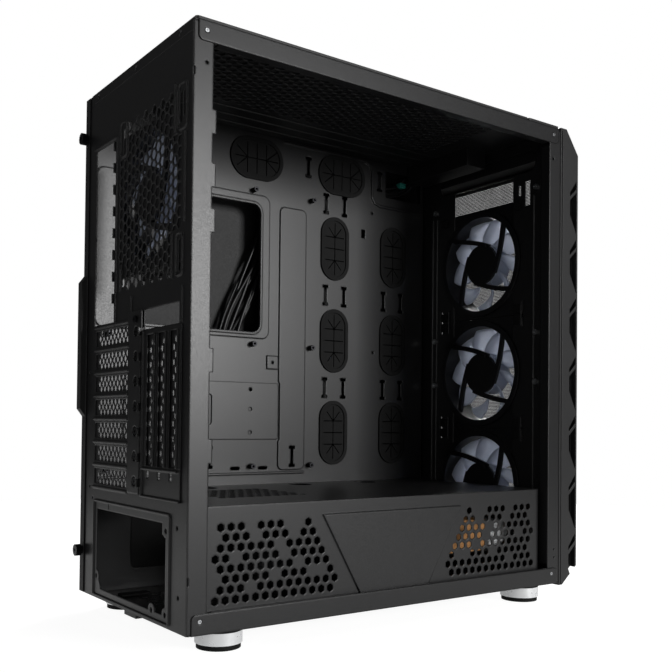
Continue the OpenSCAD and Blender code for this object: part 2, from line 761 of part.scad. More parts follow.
// Pressed sheet that closes the chassis front and carries the fans.
sheet_front_y = front_y + 4;
waist_half = 40;

module fan_opening_2d() {
    top = chassis_h - 36.4;
    for (i = [0:2]) translate([front_fan_x, front_fan_top_z - i * fan_size])
        circle(fan_bore_r + 0.5, $fn = 64);
    rect([front_fan_x - waist_half - 7, front_fan_top_z - 2 * fan_size],
        [front_fan_x + waist_half, top]);
}

module front_sheet_2d() {
    difference() {
        rect([post_return + 4, sheet_t], [rear_far_x - 1.2, top_z - sheet_t]);
        fan_opening_2d();
        round_rect([30, chassis_h - 34.4], [170, chassis_h - 12.4], 8);
        // slots beside the fans
        rect([36, chassis_h - 70.4], [43, chassis_h - 43.4]);
        rect([49, chassis_h - 58], [52, chassis_h - 46]);
        for (i = [0:1]) {
            z = front_fan_top_z - (i + 0.5) * fan_size;
            for (x = [front_fan_x - 52.5, front_fan_x + 52.5], s = [-1, 1])
                translate([x, z + s * (fan_size - fan_hole_pitch) / 2]) circle(2.2, $fn = 24);
            for (x = [front_fan_x - 60, front_fan_x - 47.5, front_fan_x + 47.5, front_fan_x + 60])
                stadium_up([x, z], 26, 2.6);
        }
        for (x = [front_fan_x - 52.5, front_fan_x + 52.5])
            for (z = [front_fan_top_z + fan_hole_pitch / 2,
                    front_fan_top_z - 2 * fan_size - fan_hole_pitch / 2])
                translate([x, z]) circle(2.2, $fn = 24);
        for (x = front_screw_xs, z = front_screw_zs)
            translate([x, z]) circle(1.5, $fn = 20);
    }
}

module front_frame() {
    color([0.1, 0.1, 0.1]) placed() {
        wall_y(sheet_front_y, sheet_t) front_sheet_2d();
        // pressed ribs facing the chamber
        wall_y(sheet_front_y + 0.9, 0.9) difference() {
            union() {
                rect([19, 30], [20.4, top_z - 40]);
                rect([31, 30], [32.2, top_z - 60]);
                for (x = [front_fan_x + 68, front_fan_x + 75])
                    rect([x, 30], [x + 1.2, top_z - 60]);
            }
            for (x = front_screw_xs, z = front_screw_zs)
                translate([x, z]) circle(screw_head_d / 2 + 0.5, $fn = 28);
        }
    }
}

// ---------------------------------------------------------------- shroud

// Columns left out of each row of holes, counted from the group's outer end.
// Rows run from the top down and every other row is set in by half a pitch.
shroud_rows = [[3, 7, 8], [0, 4, 8], [6], [2, 7], [8], [0, 6, 10, 11], [3], []];
shroud_cols = [10, 11, 11, 12, 12, 13, 13, 13];

module shroud_holes_2d() {
    for (side = [-1, 1], r = [0:len(shroud_rows) - 1], k = [0:shroud_cols[r] - 1])
        if (len(search(k, shroud_rows[r])) == 0) {
            reach = shroud_mid_y - side * (abs(shroud_mid_y) - 21.6 - 8.3
                + (r % 2 == 1 ? shroud_hole_pitch / 2 : 0) - k * shroud_hole_pitch);
            translate([reach, shroud_top_row_z - r * shroud_row_step])
                hexagon(shroud_hole_d * 0.94, 30);
        }
}

shroud_t = sheet_t;
corner_r = 10;
shroud_pad_t = 1.6;

// Raised badge-free panel between the two groups of holes.
module shroud_pad_2d() {
    polygon([[shroud_mid_y + 77, shroud_h - 11.3], [shroud_mid_y + 37.5, 14.5],
        [shroud_mid_y - 38.5, 14.5], [shroud_mid_y - 79, shroud_h - 11.3]]);
}

// Plan outline, drawn in by an inset: a rectangle with one round front corner.
shroud_far_x = tray_x - gap;
module shroud_plan_2d(inset) {
    near = shroud_x + corner_r;
    front = shroud_front_y + corner_r;
    rect([shroud_x + inset, front], [shroud_far_x + inset, shroud_rear_y + inset]);
    rect([near, shroud_front_y + inset], [shroud_far_x + inset, front + 1]);
    translate([near, front]) circle(corner_r - inset);
}

module psu_shroud() {
    wall_top = shroud_h - shroud_t;
    wall_low = sheet_t + 0.2;
    color([0.24, 0.24, 0.24]) placed() {
        difference() {
            union() {
                wall_z(wall_low, wall_top - wall_low) difference() {
                    shroud_plan_2d(0);
                    shroud_plan_2d(shroud_t);
                }
                wall_x(shroud_x - shroud_pad_t, shroud_pad_t) shroud_pad_2d();
            }
            wall_x(shroud_x - 3, 6) shroud_holes_2d();
        }
        wall_z(wall_top, shroud_t) difference() {
            shroud_plan_2d(0);
            for (y = [-105, -215, -300]) stadium([shroud_far_x - 22, y], 26, 22);
            hex_field([60, -150], [140, -60], vent_pitch, vent_flat);
        }
    }
}

// ---------------------------------------------------------------- fans

rotor_gap = 1.2;
hub_t = 3;
shaft_r = 2;
shaft_gap = 0.06;
fan_inner_r = fan_size / 2 - 1.6 - fan_ring_w;
// the front fans' rings reach through the sheet by this much
fan_proud = 3;

// Fan frame with its strut side at y = 0 and its depth towards -Y.
module fan_frame(proud) {
    rotate([90, 0, 0]) {
        difference() {
            union() {
                cylinder(r = fan_size / 2 - 0.3, h = fan_depth, $fn = 96);
                if (proud > 0) translate([0, 0, -proud])
                    cylinder(r = fan_bore_r - 0.1, h = proud + 1, $fn = 96);
                for (z = [0, fan_depth - 4]) translate([0, 0, z])
                    linear_extrude(4) difference() {
                        round_rect([-fan_size / 2 + 0.2, -fan_size / 2 + 0.2],
                            [fan_size / 2 - 0.2, fan_size / 2 - 0.2], 5);
                        for (x = [-1, 1], y = [-1, 1])
                            translate([x * fan_hole_pitch / 2, y * fan_hole_pitch / 2])
                                circle(2.15, $fn = 24);
                    }
            }
            translate([0, 0, -proud - 1])
                cylinder(r = fan_inner_r, h = fan_depth + proud + 2, $fn = 96);
        }
        cylinder(d = fan_hub_d, h = hub_t);
        for (a = [0:90:270]) rotate(a) mirror([1, 0, 0]) linear_extrude(hub_t) strut_2d();
        cylinder(r = shaft_r, h = fan_depth - 6, $fn = 32);
    }
}

// One swept strut, leaving the hub along its edge and bowing out to the ring.
strut_w = 5;
strut_steps = 10;
function strut_mid(t) = let (a = [fan_hub_d * 0.42, -fan_hub_d * 0.25],
    b = [fan_size * 0.265, fan_size * 0.405], n = [b[1] - a[1], a[0] - b[0]])
    a + t * (b - a) + 0.16 * t * (1 - t) * n;
function strut_edge(t, side) = let (d = strut_mid(t + 0.02) - strut_mid(t - 0.02), u = d / norm(d))
    strut_mid(t) + side * strut_w / 2 * [u[1], -u[0]];

module strut_2d() {
    polygon(concat(
        [for (i = [0:strut_steps]) strut_edge(i / strut_steps, 1)],
        [for (i = [strut_steps:-1:0]) strut_edge(i / strut_steps, -1)]));
}

// Hub and tilted blades, centred on the frame's axis.
module fan_rotor() {
    r_out = fan_inner_r - 1.4;
    r_hub = fan_hub_d / 2 + 0.5;
    depth = fan_depth - hub_t - 2 * rotor_gap;
    rotate([90, 0, 0]) translate([0, 0, hub_t + rotor_gap]) {
        difference() {
            cylinder(r = r_hub, h = depth, $fn = 64);
            translate([0, 0, -1]) cylinder(r = r_hub - 2, h = depth - 1.4, $fn = 64);
        }
        // boss that runs on the frame's shaft
        difference() {
            cylinder(r = shaft_r + 2, h = depth - 1, $fn = 32);
            translate([0, 0, -1]) cylinder(r = shaft_r + shaft_gap, h = depth - 1.2, $fn = 32);
        }
        intersection() {
            difference() {
                cylinder(r = r_out, h = depth, $fn = 96);
                translate([0, 0, -1]) cylinder(r = r_hub - 0.4, h = depth + 2, $fn = 64);
            }
            for (i = [0:blade_count - 1]) rotate(i * 360 / blade_count)
                translate([0, 0, depth / 2]) rotate([38, 0, 0])
                    translate([0, -fan_size, -0.7]) cube([fan_size, 2 * fan_size, 1.4]);
        }
    }
}

module front_fan_place(i)
    translate([front_fan_x, sheet_front_y - sheet_t - 0.01, front_fan_top_z - (i - 1) * fan_size])
        children();

module rear_fan_place()
    translate([rear_fan_x, -sheet_t - 0.01, rear_fan_z]) children();

module front_fan_frame(i) color([0.06, 0.06, 0.07]) placed() front_fan_place(i) fan_frame(fan_proud);
module front_rotor(i) color([0.7, 0.72, 0.78]) placed() front_fan_place(i) fan_rotor();
module rear_fan_frame() color([0.06, 0.06, 0.07]) placed() rear_fan_place() fan_frame(0);
module rear_rotor() color([0.75, 0.77, 0.85]) placed() rear_fan_place() fan_rotor();

module fan_screws() {
    color([0.1, 0.1, 0.1]) placed() {
        for (i = [1:3], x = [-1, 1], z = [-1, 1]) front_fan_place(i)
            translate([x * fan_hole_pitch / 2, sheet_t + gap, z * fan_hole_pitch / 2])
                screw(5.6, 1.6, 3.9, 5);
    }
}

// ---------------------------------------------------------------- side panel

grip_z = [165, 287];
grip_out = 6.3;

module right_panel() {
    far = case_w;
    x0 = far - panel_t;
    color([0.12, 0.12, 0.12]) placed() difference() {
        union() {
            wall_x(x0, panel_t) rect([front_y + gap, 0.6], [gap + panel_t, top_z - 0.6]);
            // rear lip and the hollow grip folded out of it
            wall_y(gap + panel_t, panel_t) rect([far - 9, 0.6], [far, top_z - 0.6]);
            difference() {
                wall_x(far - 8.5, 8.5) polygon([[gap, grip_z[0] - 5], [grip_out, grip_z[0] + 3],
                    [grip_out, grip_z[1] - 3], [gap, grip_z[1] + 5]]);
                wall_x(far - 8.5 + panel_t, 8.5) polygon([[gap - 1, grip_z[0] - 3],
                    [gap + panel_t, grip_z[0] - 3.4], [grip_out - panel_t, grip_z[0] + 3.6],
                    [grip_out - panel_t, grip_z[1] - 3.6], [gap + panel_t, grip_z[1] + 3.4],
                    [gap - 1, grip_z[1] + 3]]);
            }
        }
        for (z = thumb_zs) translate([thumb_x, 5, z]) rotate([90, 0, 0]) cylinder(r = 1.9, h = 10);
    }
}

thumb_d = 2 * (case_w - thumb_x);
thumb_shank_r = 1.75;
module side_thumbscrews() {
    seat = gap + panel_t;
    color([0.1, 0.1, 0.1]) placed()
        for (z = thumb_zs) translate([thumb_x, thumb_out, z]) rotate([90, 0, 0]) {
            difference() {
                cylinder(d = thumb_d, h = thumb_out - seat - 1.6);
                for (a = [0:20:340]) rotate(a)
                    translate([thumb_d / 2, 0, -1]) cylinder(r = 0.55, h = 10, $fn = 16);
                for (a = [0, 90]) rotate(a)
                    translate([-2.2, -0.5, -1]) cube([4.4, 1, 2.2]);
            }
            translate([0, 0, thumb_out - seat - 1.7]) cylinder(d = thumb_d - 3, h = 1.7);
            translate([0, 0, 1]) cylinder(r = thumb_shank_r, h = thumb_out + 7);
        }
}

// ---------------------------------------------------------------- front panel

relief_count = floor((relief_top_z - panel_low_z - 20) / relief_pitch) + 1;
relief_in = 12;
relief_strip = 1.8;
front_wall = 2.4;
mesh_inset = 9;
cover_y0 = front_y - 0.2;

// Side outline in (y, z), chamfered at the top and the bottom.
module front_outline_2d() {
    polygon([[cover_y0, panel_low_z], [front_y - 5.1, panel_low_z],
        [front_face_y, panel_low_z + 17.5], [front_face_y, panel_high_z - 24],
        [front_y - 8.9, panel_high_z], [cover_y0, panel_high_z]]);
}

// Zigzag pockets behind the front edge of each side wall.
module relief_2d() {
    for (k = [0:relief_count - 1]) {
        z = relief_top_z - k * relief_pitch;
        strip = front_face_y + relief_strip;
        deep = front_face_y + relief_in;
        // slanted slot above the rib, then the wide pocket below it
        polygon([[strip, z - 2], [deep, z - 15], [deep, z - 19], [strip, z - 10]]);
        polygon([[strip, z - 14], [deep, z - 23], [deep, z - 38],
            [strip, z - relief_pitch + 2]]);
    }
}

module front_panel() {
    inner_w = case_w - 1.2;
    color([0.07, 0.07, 0.07]) placed() translate([0.6, 0, 0]) difference() {
        wall_x(0, inner_w) front_outline_2d();
        // hollow behind the front
        difference() {
            wall_x(front_wall, inner_w - 2 * front_wall) rect([front_face_y + front_wall, panel_low_z + 19],
                [front_y + 5, panel_high_z - 26]);
        }
        // opening for the mesh
        translate([mesh_inset + 5, front_face_y - 1, panel_low_z + 24])
            cube([inner_w - 2 * mesh_inset - 10, front_wall + 2, panel_high_z - panel_low_z - 56]);
        // zigzag pockets at both sides
        for (x = [-1, inner_w - 6]) wall_x(x, 7) relief_2d();
        // shadow groove behind the side walls
        for (x = [-1, inner_w - 0.8]) wall_x(x, 1.8)
            rect([front_y - 3.4, panel_low_z - 1], [front_y - 2.2, panel_high_z - 3]);
    }
}

// Square openings between the mesh's stiffening ribs.
mesh_pitch = 14;
module mesh_openings_2d(low, high) {
    nx = floor((high[0] - low[0]) / mesh_pitch);
    nz = floor((high[1] - low[1]) / mesh_pitch);
    px = (high[0] - low[0]) / nx;
    pz = (high[1] - low[1]) / nz;
    for (i = [0:nx - 1], j = [0:nz - 1])
        translate([low[0] + i * px + 1, low[1] + j * pz + 1]) square([px - 2, pz - 2]);
}

module front_mesh() {
    x0 = mesh_inset + 2;
    color([0.25, 0.25, 0.25]) placed()
        wall_y(front_face_y + front_wall + 1.1, 1) difference() {
            rect([x0, panel_low_z + 21], [case_w - x0, panel_high_z - 28]);
            mesh_openings_2d([x0 + 6, panel_low_z + 27], [case_w - x0 - 6, panel_high_z - 34]);
        }
}

// ---------------------------------------------------------------- top

io_far_x = tray_x - 0.2;
io_box_x = [io_far_x - 99, io_far_x];
io_box_y = [front_y + 8, front_y + 40];
power_x = io_far_x - 12;
reset_x = io_far_x - 32;
usb_xs = [io_far_x - 54, io_far_x - 74];
jack_x = io_far_x - 90;
button_y = front_y + 24;
power_d = 16;
reset_d = 7;
button_run = 0.3;

module io_holes_2d(grow) {
    translate([power_x, button_y]) circle(power_d / 2 + grow, $fn = 48);
    translate([reset_x, button_y]) circle(reset_d / 2 + grow, $fn = 32);
    for (x = usb_xs) rect([x - 3.2, button_y - 7.4], [x + 3.2, button_y + 7.4]);
    translate([jack_x, button_y]) circle(4.1, $fn = 32);
}

// Cap over the switches and sockets at the front of the lid, with their box.
module top_io_strip() {
    x0 = lid_margin;
    x1 = case_w - lid_margin;
    color([0.08, 0.08, 0.08]) placed() {
        difference() {
            union() {
                wall_z(top_z, lid_t) round_rect([x0, front_y + 0.3], [x1, strip_y - gap], 2.5);
                translate([io_box_x[0] + 2.3, io_box_y[0] + 2.3, top_z - 20])
                    cube([io_box_x[1] - io_box_x[0] - 4.6, io_box_y[1] - io_box_y[0] - 4.6, 20.5]);
            }
            wall_z(top_z - 18, 40) io_holes_2d(button_run);
            translate([power_x, button_y, top_z + lid_t - 0.9]) cylinder(d = power_d + 5, h = 2);
        }
    }
}

module power_button() {
    color([0.2, 0.2, 0.2]) placed() translate([power_x, button_y, 0]) difference() {
        translate([0, 0, top_z - 12]) cylinder(d = power_d, h = 12 + lid_t - 0.4);
        translate([0, 0, top_z + lid_t - 0.9]) difference() {
            cylinder(d = power_d - 4, h = 2);
            translate([0, 0, -1]) cylinder(d = power_d - 6, h = 4);
        }
    }
}

module reset_button() {
    color([0.2, 0.2, 0.2]) placed()
        translate([reset_x, button_y, top_z - 10]) cylinder(d = reset_d, h = 10 + lid_t - 0.3);
}

// Metal shells of the two data sockets and the headset socket.
module io_sockets() {
    color([0.7, 0.7, 0.72]) placed() {
        for (x = usb_xs) translate([x, button_y, top_z - 17.9]) difference() {
            translate([-3.15, -7.35, 0]) cube([6.3, 14.7, 17.9 + lid_t - 0.4]);
            translate([-2.4, -6.6, 1]) cube([4.8, 13.2, 30]);
        }
        for (x = usb_xs) translate([x - 2.4, button_y - 5.6, top_z - 16.9]) cube([2.2, 11.2, 17]);
        translate([jack_x, button_y, top_z - 17.9]) difference() {
            cylinder(r = 4.05, h = 17.9 + lid_t - 0.2);
            translate([0, 0, 2]) cylinder(r = 1.85, h = 30, $fn = 32);
        }
    }
}

// Dust filter on the lid: a thin rimmed sheet held by magnets.
filter_t = lid_t - 0.4;
module top_filter() {
    x0 = lid_margin;
    x1 = case_w - lid_margin;
    y0 = strip_y + gap;
    y1 = -lid_margin;
    color([0.06, 0.06, 0.06]) placed() translate([0, 0, top_z + 0.05]) {
        wall_z(0, 0.8) round_rect([x0, y0], [x1, y1], 2.5);
        wall_z(0.8, filter_t - 0.8) {
            difference() {
                round_rect([x0, y0], [x1, y1], 2.5);
                round_rect([x0 + 9, y0 + 9], [x1 - 9, y1 - 9], 3);
            }
            for (i = [1:2]) {
                y = y0 + (y1 - y0) * i / 3;
                rect([x0 + 8, y - 2], [x1 - 8, y + 2]);
            }
        }
    }
}

// ---------------------------------------------------------------- feet and floor filter

foot_inset = 19.2;
foot_places = [for (x = [foot_inset, case_w - foot_inset], y = [-37, front_y + 37]) [x, y]];
foot_cap_t = 1.6;
foot_pad_t = 4;
pad_recess = 1.2;

module foot_rings() {
    color([0.85, 0.85, 0.85]) placed() for (p = foot_places) translate([p[0], p[1], 0]) {
        difference() {
            translate([0, 0, -foot_h + foot_pad_t])
                cylinder(d = foot_d, h = foot_h - foot_pad_t - foot_cap_t, $fn = 96);
            translate([0, 0, -foot_h]) cylinder(d = 4.2, h = foot_h + 1, $fn = 24);
        }
    }
}

module foot_pads() {
    color([0.06, 0.06, 0.06]) placed() for (p = foot_places) translate([p[0], p[1], 0]) {
        translate([0, 0, -foot_h]) difference() {
            cylinder(d = foot_d - 2 * pad_recess, h = foot_pad_t, $fn = 96);
            translate([0, 0, -1]) cylinder(d = 9, h = 3, $fn = 32);
        }
        translate([0, 0, -foot_cap_t]) cylinder(d = foot_d - 1, h = foot_cap_t, $fn = 96);
        translate([0, 0, -foot_h + foot_pad_t]) cylinder(d = 4, h = foot_h - foot_pad_t, $fn = 24);
    }
}

// Slide-out dust filter under the power supply.
module psu_filter() {
    foot_reach = foot_inset + foot_d / 2 + 1;
    x0 = max(psu_x + 9, foot_reach);
    x1 = min(psu_x + psu_w - 10, case_w - foot_reach);
    color([0.07, 0.07, 0.07]) placed() translate([0, 0, -4.2]) {
        wall_z(0, 1) rect([x0, -160], [x1, -8]);
        wall_z(0, 3.4) difference() {
            rect([x0, -160], [x1, -8]);
            rect([x0 + 7, -153], [x1 - 7, -18]);
            rect([x0 + 50, -8.6], [x1 - 50, -4]);
        }
        // pull tab
        wall_z(0, 3.4) rect([x0 + 54, -9], [x1 - 54, -2]);
    }
}

// ---------------------------------------------------------------- drive cage

cage_x = [32, tray_x - 3];
cage_y = [front_y + 26, front_y + 148];
cage_shelf_z = 33;
cage_top_z = shroud_h - 12;

module drive_cage() {
    color([0.14, 0.14, 0.14]) placed() {
        difference() {
            for (y = [cage_y[0], cage_y[1] - sheet_t]) translate([cage_x[0], y, sheet_t])
                cube([cage_x[1] - cage_x[0], sheet_t, cage_top_z - sheet_t]);
            for (x = [cage_x[0] + 30 : 40 : cage_x[1] - 20])
                translate([x, cage_y[0] - 5, 48]) rotate([-90, 0, 0])
                    cylinder(d = 12, h = cage_y[1] - cage_y[0] + 10);
        }
        for (z = [cage_shelf_z, cage_top_z - sheet_t]) wall_z(z, sheet_t) difference() {
            rect([cage_x[0], cage_y[0]], [cage_x[1], cage_y[1]]);
            for (i = [0:1])
                round_rect([cage_x[0] + 24 + i * 62, cage_y[0] + 30],
                    [cage_x[0] + 70 + i * 62, cage_y[1] - 30], 6);
        }
    }
}

// Tool-free drive tray in the lower bay.
module drive_tray() {
    x0 = cage_x[0] + 20;
    y0 = cage_y[0] + 2.5;
    y1 = cage_y[1] - 2.5;
    z0 = 4;
    color([0.09, 0.09, 0.09]) placed() {
        wall_z(z0, 2) difference() {
            rect([x0, y0], [cage_x[1] - 3, y1]);
            for (x = [x0 + 35, x0 + 95]) translate([x, (y0 + y1) / 2]) circle(22, $fn = 48);
        }
        for (y = [y0, y1 - 3]) translate([x0, y, z0]) cube([cage_x[1] - 3 - x0, 3, 16]);
        translate([cage_x[1] - 8, y0, z0]) difference() {
            cube([5, y1 - y0, 26]);
            translate([-1, 25, 10]) cube([7, y1 - y0 - 50, 9]);
        }
    }
}

// Brown carton of loose fittings, stowed on the shelf of the cage.
module accessory_carton() {
    color([0.62, 0.45, 0.3]) placed() difference() {
        translate([34, cage_y[1] - 77, cage_shelf_z + sheet_t + 0.1]) cube([94, 74.5, 30]);
        translate([33, cage_y[1] - 40, cage_shelf_z + 30.4]) cube([96, 0.8, 5]);
    }
}

// Bag of screws beside the carton.
module parts_bag() {
    color([0.85, 0.85, 0.85]) placed()
        translate([36, cage_y[0] + 4, cage_shelf_z + sheet_t + 0.1]) cube([60, 34, 28]);
}

// ---------------------------------------------------------------- leads

// Route of the bundled leads of the switches and sockets, behind the tray.
harness_r = 7;
harness_route = [[199.5, -384, 440], [202, -374, 431], [202, -362, 424], [202, -345, 421],
    [202, -320, 419], [202, -290, 417], [202, -262, 414], [202, -238, 406],
    [202, -218, 392], [202, -203, 372], [202, -191, 348], [202, -180, 322],
    [202, -168, 296], [202, -156, 270], [202, -147, 246], [202, -140, 222],
    [202, -134, 200], [202, -124, 184], [202, -112, 178], [202, -100, 184],
    [202, -94, 200], [202, -92, 220]];
harness_sides = 10;

function harness_dir(i) = let (n = len(harness_route) - 1,
    d = harness_route[min(i + 1, n)] - harness_route[max(i - 1, 0)]) d / norm(d);
function harness_ring(i) = let (t = harness_dir(i),
    side = cross(t, [1, 0, 0]) / norm(cross(t, [1, 0, 0])), up = cross(side, t))
    [for (k = [0:harness_sides - 1]) let (a = 360 * k / harness_sides)
        harness_route[i] + harness_r * (cos(a) * side + sin(a) * up)];

module harness_tube() {
    n = len(harness_route);
    s = harness_sides;
    pts = [for (i = [0:n - 1]) each harness_ring(i)];
    sides = [for (i = [0:n - 2], k = [0:s - 1])
        [i * s + k, i * s + (k + 1) % s, (i + 1) * s + (k + 1) % s, (i + 1) * s + k]];
    polyhedron(points = pts, faces = concat(sides,
        [[for (k = [s - 1:-1:0]) k]], [[for (k = [0:s - 1]) (n - 1) * s + k]]));
}

module io_harness() color([0.04, 0.04, 0.04]) placed() translate([0, 0, chassis_h - 455.4]) harness_tube();

// ---------------------------------------------------------------- drawing

rear_panel();
rear_post();
front_post();
top_rail();
bottom_rail();
motherboard_tray();
base_pan();
top_panel();
front_frame();
psu_shroud();
for (i = [1:7]) slot_cover(i);
for (i = [1:3]) upright_slot_cover(i);
slot_lock_strip();
upright_slot_bracket();
case_screws();
frame_rivets();
board_standoffs();
for (i = [1:2]) grommet_top(i);
for (i = [1:6]) grommet_side(i);
drive_plate();
for (i = [1:3]) front_fan_frame(i);
rear_fan_frame();
for (i = [1:3]) front_rotor(i);
rear_rotor();
fan_screws();
right_panel();
side_thumbscrews();
front_panel();
front_mesh();
top_io_strip();
power_button();
reset_button();
io_sockets();
top_filter();
foot_rings();
foot_pads();
psu_filter();
drive_cage();
drive_tray();
accessory_carton();
parts_bag();
io_harness();
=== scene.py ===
"""Desktop computer tower: an empty mid-tower case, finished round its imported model."""
import math

import bmesh
import bpy
from mathutils import Matrix, Vector, noise


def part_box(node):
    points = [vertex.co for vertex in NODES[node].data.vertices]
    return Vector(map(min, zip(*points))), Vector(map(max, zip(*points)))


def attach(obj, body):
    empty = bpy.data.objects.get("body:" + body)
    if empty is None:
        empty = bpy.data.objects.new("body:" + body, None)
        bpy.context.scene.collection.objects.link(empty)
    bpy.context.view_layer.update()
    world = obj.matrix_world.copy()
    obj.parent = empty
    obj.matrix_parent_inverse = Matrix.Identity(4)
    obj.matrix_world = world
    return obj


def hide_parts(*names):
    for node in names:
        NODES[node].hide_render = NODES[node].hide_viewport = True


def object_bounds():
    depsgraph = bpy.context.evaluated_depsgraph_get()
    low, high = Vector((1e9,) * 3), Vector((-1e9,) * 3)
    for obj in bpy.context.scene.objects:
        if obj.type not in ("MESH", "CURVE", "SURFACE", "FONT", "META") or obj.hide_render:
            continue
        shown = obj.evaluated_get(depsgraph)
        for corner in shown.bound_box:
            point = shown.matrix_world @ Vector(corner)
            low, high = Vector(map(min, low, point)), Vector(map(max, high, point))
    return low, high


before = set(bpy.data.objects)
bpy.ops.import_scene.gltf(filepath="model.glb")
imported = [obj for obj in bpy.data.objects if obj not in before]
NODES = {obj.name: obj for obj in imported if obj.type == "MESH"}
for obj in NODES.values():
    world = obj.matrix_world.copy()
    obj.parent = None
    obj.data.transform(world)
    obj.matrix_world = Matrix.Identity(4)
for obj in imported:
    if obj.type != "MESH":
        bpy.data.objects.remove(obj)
cad_low, cad_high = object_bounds()

MM = 0.001

# where the chassis' lower rear corner, on the open side, stands in the frame
CORNER_MM = Vector((-106.5, 216.5, 15))


# ------------------------------------------------------------------ camera and light

def studio_camera():
    """Stands behind the case, towards its open side, a little above the floor."""
    place = Vector((-681, 514.5, 172.2)) * MM
    heading, pitch, roll = map(math.radians, (35.36, 1.06, 0.61))
    forward = Vector((math.cos(heading) * math.cos(pitch),
                      -math.sin(heading) * math.cos(pitch), math.sin(pitch)))
    level = forward.cross(Vector((0, 0, 1))).normalized()
    over = level.cross(forward)
    right = level * math.cos(roll) + over * math.sin(roll)
    up = over * math.cos(roll) - level * math.sin(roll)
    data = bpy.data.cameras.new("camera")
    data.sensor_width = 36
    data.lens = 47.05
    data.shift_x = 0.035
    data.shift_y = 0.105
    data.clip_start = 0.01
    data.clip_end = 100
    camera = bpy.data.objects.new("camera", data)
    turn = Matrix((right, up, -forward)).transposed()
    camera.matrix_world = Matrix.Translation(place) @ turn.to_4x4()
    bpy.context.scene.collection.objects.link(camera)
    bpy.context.scene.camera = camera


def soft_light(name, place, aim, size, power):
    """A soft box that faces the point aim: places and sizes in metres, power in watts."""
    data = bpy.data.lights.new(name, "AREA")
    data.shape = "RECTANGLE"
    data.size, data.size_y = size
    data.energy = power
    lamp = bpy.data.objects.new(name, data)
    lamp.location = place
    lamp.rotation_euler = (Vector(aim) - Vector(place)).to_track_quat("-Z", "Y").to_euler()
    bpy.context.scene.collection.objects.link(lamp)


def studio():
    """A pale round floor under an even white sky, with five soft boxes."""
    floor_radius = 1.2
    sky_light = 0.04
    scene = bpy.context.scene
    scene.view_settings.view_transform = "Standard"
    world = bpy.data.worlds.new("sky")
    scene.world = world
    world.use_nodes = True
    tree = world.node_tree
    tree.nodes.clear()
    seen = node(tree, "ShaderNodeBackground", Color=(1, 1, 1, 1), Strength=1.0)
    lit = node(tree, "ShaderNodeBackground", Color=(1, 1, 1, 1), Strength=sky_light)
    path = node(tree, "ShaderNodeLightPath")
    mix = node(tree, "ShaderNodeMixShader")
    out = node(tree, "ShaderNodeOutputWorld")
    tree.links.new(path.outputs["Is Camera Ray"], mix.inputs[0])
    tree.links.new(lit.outputs[0], mix.inputs[1])
    tree.links.new(seen.outputs[0], mix.inputs[2])
    tree.links.new(mix.outputs[0], out.inputs[0])

    bm = bmesh.new()
    bmesh.ops.create_circle(bm, cap_ends=True, segments=96, radius=floor_radius)
    floor = mesh_object("floor", bm)
    floor.data.materials.append(floor_paint())

    soft_light("side_box", (-2.6, -0.92, 0.72), (0, 0, 0.3), (0.9, 0.9), 52)
    soft_light("rear_box", (0.9, 2.6, 1.9), (0, 0, 0.2), (1.0, 0.8), 8)
    soft_light("fill_box", (-1.5, 1.9, 0.75), (0, 0, 0.3), (0.8, 0.8), 5)
    soft_light("front_box", (1.25, -2.3, 0.9), (0, -0.1, 0.25), (1.6, 1.4), 175)
    soft_light("top_box", (-0.3, 0.0, 2.9), (0, 0, 0), (2.0, 2.0), 6)


# ------------------------------------------------------------------ small tools

def srgb(code):
    """An sRGB hex colour as linear red, green, blue and alpha."""
    parts = [int(code[i:i + 2], 16) / 255 for i in (1, 3, 5)]
    line = [c / 12.92 if c <= 0.04045 else ((c + 0.055) / 1.055) ** 2.4 for c in parts]
    return (*line, 1.0)


def node(tree, kind, links=(), **settings):
    """Adds a node: settings name its sockets or properties, links are (socket, source)."""
    made = tree.nodes.new(kind)
    for key, value in settings.items():
        name = key.replace("_", " ")
        if name in made.inputs:
            made.inputs[name].default_value = value
        else:
            setattr(made, key, value)
    for socket, source in links:
        tree.links.new(source, made.inputs[socket])
    return made


def mesh_object(name, bm, smooth=False):
    """Turns a bmesh into an object in the scene."""
    bmesh.ops.recalc_face_normals(bm, faces=bm.faces)
    data = bpy.data.meshes.new(name)
    bm.to_mesh(data)
    bm.free()
    if smooth:
        data.shade_smooth()
    made = bpy.data.objects.new(name, data)
    bpy.context.scene.collection.objects.link(made)
    return made


def box_into(bm, low, high):
    """Adds a box between two corners to a bmesh."""
    low, high = Vector(low), Vector(high)
    place = Matrix.Translation((low + high) / 2)
    bmesh.ops.create_cube(bm, size=1, matrix=place @ Matrix.Diagonal((*(high - low), 1)))


# ------------------------------------------------------------------ materials

def surface(name, colour, roughness, metallic=0.0, ior=1.5, coat=0.0):
    """A material with one principled shader and object-space coordinates."""
    made = bpy.data.materials.new(name)
    made.use_nodes = True
    tree = made.node_tree
    shader = tree.nodes["Principled BSDF"]
    shader.inputs["Base Color"].default_value = srgb(colour)
    shader.inputs["Roughness"].default_value = roughness
    shader.inputs["Metallic"].default_value = metallic
    shader.inputs["IOR"].default_value = ior
    shader.inputs["Coat Weight"].default_value = coat
    place = node(tree, "ShaderNodeTexCoord").outputs["Object"]
    return made, tree, shader, place


